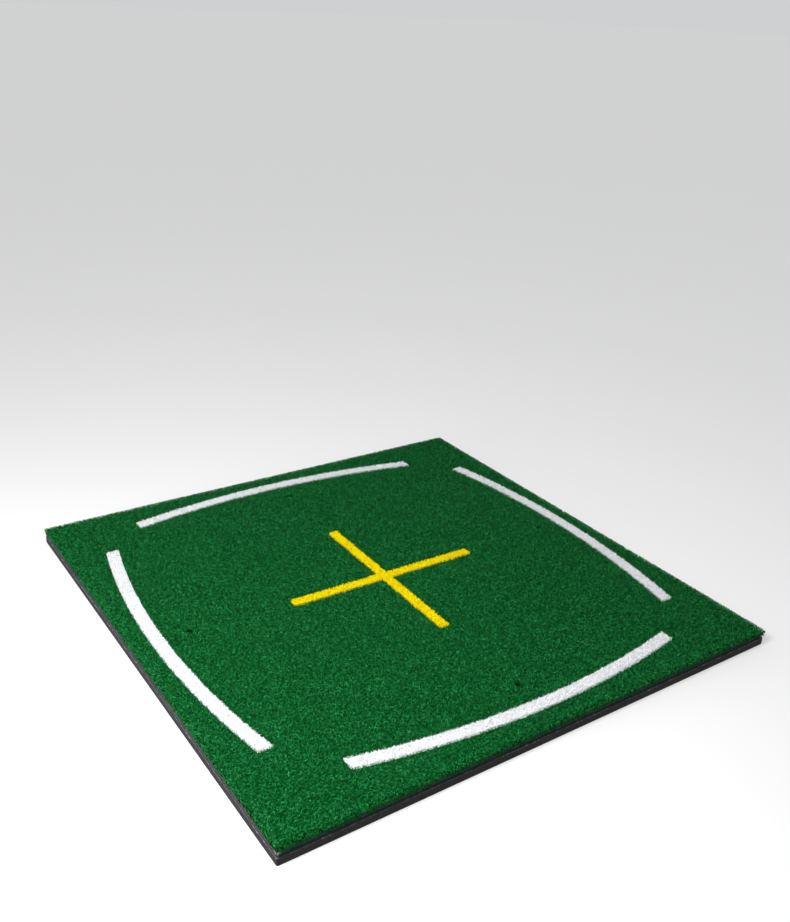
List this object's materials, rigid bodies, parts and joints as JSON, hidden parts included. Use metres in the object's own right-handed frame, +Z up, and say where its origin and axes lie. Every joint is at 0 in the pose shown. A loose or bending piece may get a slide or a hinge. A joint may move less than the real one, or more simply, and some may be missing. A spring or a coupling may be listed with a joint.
{
  "type": "golf teaching mat",
  "caption": "Square layered golf hitting mat: green turf with inlaid white arcs and a yellow cross, on foam, springy C-shaped filaments and a thick rubber base.",
  "frame": {"origin": "centre of the mat's underside, on the floor", "axes": "+X along the front edge, +Y from the front edge to the back, +Z up through the turf"},
  "size_m": [1.5, 1.5, 0.047],
  "materials": {
    "base_rubber": "coarse granular, matte, with shiny chips",
    "glue": "satin hot-melt film",
    "carrier_fabric": "fuzzy knitted fabric",
    "filament": "glossy extruded monofilament",
    "foam": "matte closed-cell foam, knife-cut edge",
    "backing": "woven backing with a latex coat",
    "turf_green": "curled ribbon yarn with a soft gloss",
    "turf_white": "curled ribbon yarn with a soft gloss",
    "turf_yellow": "curled ribbon yarn with a soft gloss"
  },
  "bodies": {
    "base": {"base_layer": "base_rubber", "base_glue_film": "glue", "lower_fabric": "carrier_fabric", "spring_filaments": "filament"},
    "deck": {"upper_fabric": "carrier_fabric", "foam_glue_film": "glue", "foam_layer": "foam", "turf_glue_film": "glue", "turf_backing": "backing", "green_pile": "turf_green", "white_arc_back": "turf_white", "white_arc_left": "turf_white", "white_arc_front": "turf_white", "white_arc_right": "turf_white", "cross_long_bar": "turf_yellow", "cross_short_bar_left": "turf_yellow", "cross_short_bar_right": "turf_yellow"}
  },
  "joints": [
    {"name": "deck_compression", "type": "slide", "parent": "base", "child": "deck", "axis": [0, 0, 1], "range_m": [-0.004, 0], "stiffness_N_per_m": 250000, "springref_m": 0.0006, "deforming": ["spring_filaments"]}
  ]
}
